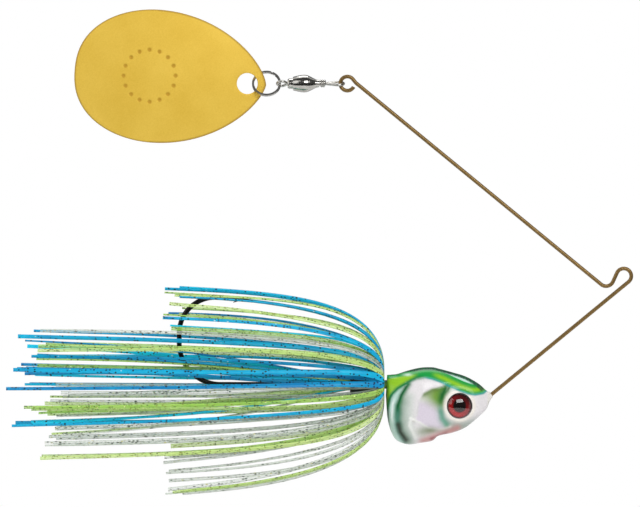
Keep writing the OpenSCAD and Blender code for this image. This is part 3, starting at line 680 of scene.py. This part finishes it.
def strandCourses(node):  # every strand's rings from root to tip, as middle, half width and half thickness
    scan = bmesh.new()
    scan.from_mesh(node.data)
    bmesh.ops.remove_doubles(scan, verts=scan.verts, dist=weld / 2)
    scan.verts.ensure_lookup_table()
    scan.verts.index_update()
    courses = []
    for group in joinedVerts(scan):
        rings = ringsFromTip(scan, group)
        middles = [sum((vertex.co for vertex in ring), Vector()) / 4 for ring in rings]
        course, last = [], None
        for k, ring in enumerate(rings):
            ahead = (middles[min(k + 1, len(rings) - 1)] - middles[max(k - 1, 0)]).normalized()
            start = (ring[0].co - middles[k]).normalized()
            side = ahead.cross(start)
            corners = sorted(
                (vertex.co - middles[k] for vertex in ring),
                key=lambda corner: math.atan2(corner.dot(side), corner.dot(start)))
            if last:  # start at the same corner as the ring before
                swing = last[1].rotation_difference(ahead)
                carried = [swing @ corner for corner in last[0]]
                corners = min(
                    (corners[n:] + corners[:n] for n in range(4)),
                    key=lambda turn: sum((p - q).length_squared for p, q in zip(turn, carried)))
            last = (corners, ahead)
            a, b, c, d = corners
            course.append([middles[k], (a - b - c + d) / 4, (a + b - c - d) / 4])
        if course[0][1].length < course[0][2].length:
            course = [[middle, thick, wide] for middle, wide, thick in course]
        courses.append(course[::-1])
    scan.free()
    return courses


def makeStrands(name, node, widths, chance):
    sides = len(section)
    verts, faces, shade, rim = [], [], [], []
    for course in strandCourses(node):
        tone, phase = chance.random(), chance.uniform(0, 2 * math.pi)
        roll, sway = chance.uniform(-1, 1) * loose["roll"], chance.uniform(*loose["sway"]) * mm
        breadth = chance.uniform(*widths)
        steps = skirt["finer"] * (len(course) - 1)
        base = len(verts)
        for k in range(steps + 1):
            share = k / steps
            spot = k / skirt["finer"]
            middle, wide, thick = (curveAt([ring[n] for ring in course], spot) for n in range(3))
            free = float(past(share, loose["from"], 1 - loose["from"]))
            cosine, sine = math.cos(roll * free), math.sin(roll * free)
            broad, thin = wide.normalized(), thick.normalized()
            swing = sway * free * math.sin(phase + loose["waves"] * share)
            middle += (broad + loose["lift"] * thin) * swing
            reach = wide.length * breadth * (1 - loose["taper"] * free)
            wide = (broad * cosine + thin * sine) * reach
            thick = (thin * cosine - broad * sine) * thick.length
            verts += [middle + wide * p + thick * q for p, q in section]
            shade += [tone] * sides
            rim += [abs(p) for p, q in section]
        for k in range(steps):
            low = base + sides * k
            for n in range(sides):
                after = (n + 1) % sides
                faces.append((low + n, low + after, low + sides + after, low + sides + n))
        faces.append(tuple(range(base + sides - 1, base - 1, -1)))
        faces.append(tuple(range(base + sides * steps, base + sides * steps + sides)))
    mesh = bpy.data.meshes.new(name)
    mesh.from_pydata(verts, [], faces)
    for label, values in (("shade", shade), ("rim", rim)):
        mesh.attributes.new(label, "FLOAT", "POINT").data.foreach_set("value", values)
    obj = bpy.data.objects.new(name, mesh)
    bpy.context.collection.objects.link(obj)
    smoothFaces(obj, skirt["smooth"])
    return obj


def strandSilicone(name, look):  # tinted silicone with flakes, clearer in the middle than at its edges
    made, tree, shader = startMaterial(name, {
        "Roughness": 0.36, "Specular IOR Level": 0.3, "Coat Weight": 0.06, "Coat Roughness": 0.15})
    place = objectPlace(tree)
    tone = addNode(tree, "Attribute", attribute_name="shade").outputs["Fac"]
    rim = addNode(tree, "Attribute", attribute_name="rim").outputs["Fac"]
    cloud = addNoise(tree, place, skirt["cloud"], detail=2.0)
    mottle = addMath(tree, "MULTIPLY", addMath(tree, "ADD", tone, cloud), 0.5)
    colour = addRamp(tree, mottle, tinted([(0.2, look["deep"]), (0.8, look["bright"])]))
    drawn = addNode(tree, "Mapping", {"Vector": place, "Scale": (look["stretch"], 1, 1)}).outputs["Vector"]
    cells = addNode(tree, "TexVoronoi", {"Vector": drawn, "Scale": look["fine"], "Randomness": 1.0})
    pick = addNode(tree, "SeparateColor", {"Color": cells.outputs["Color"]})
    small = addMath(tree, "LESS_THAN", cells.outputs["Distance"], look["size"])
    some = addMath(tree, "LESS_THAN", pick.outputs["Red"], look["share"])
    fleck = addMath(tree, "MULTIPLY", small, some)
    fleckTint = addRamp(tree, pick.outputs["Green"], tinted(look["flakes"]), "CONSTANT")
    tree.links.new(addMix(tree, fleck, colour, fleckTint), shader.inputs["Base Color"])
    body = addRange(tree, rim, (skirt["clearTo"], look["middle"]), (skirt["fullFrom"], look["edge"]))
    tree.links.new(addMath(tree, "MAXIMUM", fleck, body), shader.inputs["Alpha"])
    return made


chance = random.Random(skirt["seed"])
for colourName, look in skirt["colours"].items():
    made = strandSilicone(colourName + "Silicone", look)
    for layer in ("bloom", "body", "tail"):
        for sideName in ("left", "right"):
            source = f"skirt_{colourName}_{layer}_{sideName}"
            tabName = colourName + layer.title() + sideName.title()
            tab = makeStrands(tabName, nodes[source], look["wide"], chance)
            dress(tab, made)
            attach(tab, "frame")
            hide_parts(source)
print("skirt made")

# stage, light and camera
stage = {
    "floor": {
        "radius": 0.26, "spot": (-0.08, 0, -0.09), "sides": 96, "dust": 40.0, "low": (246, 246, 246),
        "high": (248, 248, 248)},
    "studio": {  # what polished pieces mirror: white but for a dark room in front and a dim wall behind
        "glow": 0.5, "front": (0.25, -0.87, 0.42), "fade": (0.08, 0.52), "dark": 0.06,
        "back": (0.0, 1.0, 0.1), "backFade": (0.25, 0.7), "backDark": 0.14,
        "groundFade": (-0.4, 0.15), "groundDark": 0.22},
    "lamps": {
        "key": {"spot": (0.22, -0.66, 0.36), "size": (0.58, 0.3), "power": 2.8},
        "fill": {"spot": (-0.55, -0.45, 0.3), "size": (0.5, 0.5), "power": 0.9},
        "rim": {"spot": (-0.05, 0.22, 0.66), "size": (0.4, 0.4), "power": 1.2}},
    "lampAim": (-0.08, 0, 0),
    "view": {"x": -79.6, "z": 5.9, "wide": 167.7, "away": 1600, "sensor": 36}}
ground, studio, view = stage["floor"], stage["studio"], stage["view"]
bpy.ops.mesh.primitive_circle_add(
    vertices=ground["sides"], radius=ground["radius"], fill_type="NGON", location=ground["spot"])
floor = bpy.context.object
floor.name = "floor"
floorPaint, tree, shader = startMaterial("floorPaint", {"Roughness": 0.8})
dust = addNoise(tree, objectPlace(tree), ground["dust"], detail=2.0)
colour = addRamp(tree, dust, tinted([(0.3, ground["low"]), (0.7, ground["high"])]))
tree.links.new(colour, shader.inputs["Base Color"])
dress(floor, floorPaint)

scene = bpy.context.scene
world = bpy.data.worlds.new("studio")
scene.world = world
world.use_nodes = True
tree = world.node_tree
tree.nodes.clear()


def addSky(strength):
    node = addNode(tree, "Background", {"Color": (1, 1, 1, 1), "Strength": strength})
    return node.outputs["Background"]


def darkPatch(way, towards, fade, dark):
    facing = addVector(tree, "DOT_PRODUCT", way, Vector(towards).normalized()).outputs["Value"]
    return addRange(tree, facing, (fade[0], 1), (fade[1], dark), "SMOOTHSTEP")


rays = addNode(tree, "LightPath").outputs
way = addNode(tree, "TexCoord").outputs["Generated"]
room = darkPatch(way, studio["front"], studio["fade"], studio["dark"])
wall = darkPatch(way, studio["back"], studio["backFade"], studio["backDark"])
height = addNode(tree, "SeparateXYZ", {0: way}).outputs["Z"]
low, high = studio["groundFade"]
below = addRange(tree, height, (low, studio["groundDark"]), (high, 1), "SMOOTHSTEP")
mirrored = addMath(tree, "MULTIPLY", addMath(tree, "MULTIPLY", room, wall), below)
shone = addNode(tree, "MixShader", {
    "Fac": rays["Is Glossy Ray"], 1: addSky(studio["glow"]), 2: addSky(mirrored)}).outputs["Shader"]
straight = addMath(tree, "MAXIMUM", rays["Is Camera Ray"], rays["Is Transmission Ray"])
both = addNode(tree, "MixShader", {"Fac": straight, 1: shone, 2: addSky(1.0)}).outputs["Shader"]
addNode(tree, "OutputWorld", {"Surface": both})
for name, lamp in stage["lamps"].items():
    bpy.ops.object.light_add(type="AREA", location=lamp["spot"])
    light = bpy.context.object
    light.name = name
    light.data.shape = "RECTANGLE"
    light.data.size, light.data.size_y = lamp["size"]
    light.data.energy = lamp["power"]
    aim = Vector(stage["lampAim"]) - Vector(lamp["spot"])
    light.rotation_euler = aim.to_track_quat("-Z", "Y").to_euler()
bpy.ops.object.camera_add(
    location=(view["x"] * mm, -view["away"] * mm, view["z"] * mm), rotation=(math.pi / 2, 0, 0))
camera = bpy.context.object
camera.data.sensor_width = view["sensor"]
camera.data.lens = view["sensor"] * view["away"] / view["wide"]
scene.camera = camera
scene.view_settings.view_transform = "Standard"
print("stage set")
